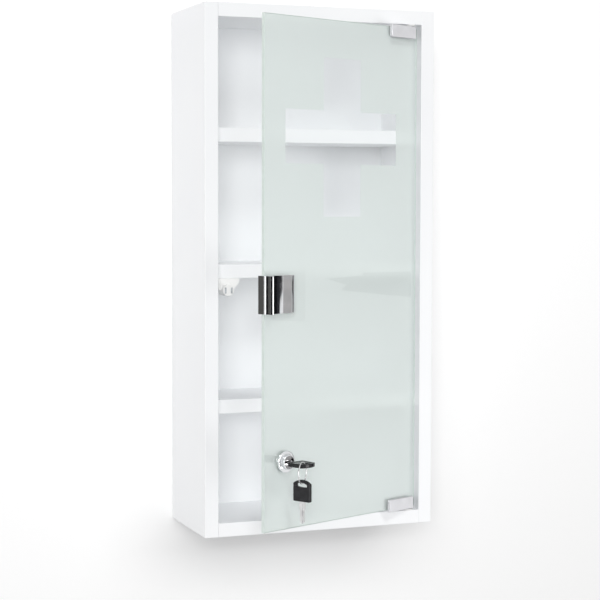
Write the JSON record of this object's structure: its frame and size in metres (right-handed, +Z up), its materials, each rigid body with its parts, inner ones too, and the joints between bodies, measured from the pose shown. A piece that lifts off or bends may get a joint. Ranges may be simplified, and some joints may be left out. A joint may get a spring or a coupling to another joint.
{
  "type": "medicine cabinet",
  "caption": "Wall-hung white medicine cabinet with shelves and a lockable frosted glass door that has a clear cross window, chrome clip handle and key ring.",
  "frame": {"origin": "on the wall plane, midway between the entry holes of the two keyhole hanging plates", "axes": "+X to the right seen from the front, +Y into the wall, +Z up"},
  "size_m": [0.28, 0.2534, 0.6],
  "materials": {
    "lacquered_board": "white satin lacquer on board",
    "beech": "raw fluted beech",
    "zinc_plated_steel": "bright zinc plating",
    "white_nylon": "moulded",
    "ferrite": "sintered, unpainted",
    "clear_glass": "polished float glass",
    "frosted_film": "etched, satin",
    "satin_zinc": "satin die cast",
    "steel_pin": "turned",
    "soft_pad": "soft, matt",
    "polished_chrome": "polished plating",
    "brass_wafer": "stamped",
    "nickel_steel": "nickel plated",
    "black_plastic": "moulded, fine satin"
  },
  "bodies": {
    "cabinet": {"left_side_panel": "lacquered_board", "right_side_panel": "lacquered_board", "top_panel": "lacquered_board", "bottom_panel": "lacquered_board", "back_panel": "lacquered_board", "upper_shelf": "lacquered_board", "middle_shelf": "lacquered_board", "lower_shelf": "lacquered_board", "carcass_dowels": "beech", "shelf_dowels": "beech", "left_hanger_plate": "zinc_plated_steel", "right_hanger_plate": "zinc_plated_steel", "hanger_screws": "zinc_plated_steel", "upper_hinge_bush": "white_nylon", "lower_hinge_bush": "white_nylon", "catch_body": "white_nylon", "catch_magnet": "ferrite", "catch_poles": "zinc_plated_steel", "catch_screws": "zinc_plated_steel"},
    "door": {"glass_door": "clear_glass", "frosted_film": "frosted_film", "upper_hinge_clip": "satin_zinc", "lower_hinge_clip": "satin_zinc", "upper_hinge_pin": "steel_pin", "lower_hinge_pin": "steel_pin", "hinge_pads": "soft_pad", "hinge_set_screws": "zinc_plated_steel", "handle": "polished_chrome", "handle_pads": "soft_pad", "handle_set_screws": "zinc_plated_steel", "lock_body": "polished_chrome", "lock_gaskets": "soft_pad", "lock_nut": "zinc_plated_steel"},
    "lock_plug": {"lock_barrel": "polished_chrome", "lock_wafers": "brass_wafer", "lock_cam": "zinc_plated_steel", "cam_screw": "zinc_plated_steel"},
    "key": {"key_blade": "nickel_steel", "key_head": "black_plastic"},
    "ring": {"key_ring": "nickel_steel"},
    "spare_key": {"spare_key_blade": "nickel_steel", "spare_key_head": "black_plastic"}
  },
  "joints": [
    {"name": "door_swing", "type": "hinge", "parent": "cabinet", "child": "door", "pos_m": [0.112, -0.125, -0.26], "axis": [0, 0, 1], "range_deg": [-23.2, 86.8]},
    {"name": "lock_turn", "type": "hinge", "parent": "door", "child": "lock_plug", "pos_m": [-0.06971, -0.21202, -0.465], "axis": [-0.3939, 0.9191, 0], "range_deg": [0, 90]},
    {"name": "key_draw", "type": "slide", "parent": "lock_plug", "child": "key", "axis": [0.3939, -0.9191, 0], "range_m": [0, 0.03]},
    {"name": "ring_swing", "type": "hinge", "parent": "key", "child": "ring", "pos_m": [-0.06602, -0.24286, -0.465], "axis": [0.7385, -0.6743, 0], "range_deg": [-24, 5]},
    {"name": "spare_key_swing", "type": "hinge", "parent": "ring", "child": "spare_key", "pos_m": [-0.06602, -0.24286, -0.48355], "axis": [-0.6743, -0.7385, 0], "range_deg": [-30, 30]}
  ]
}
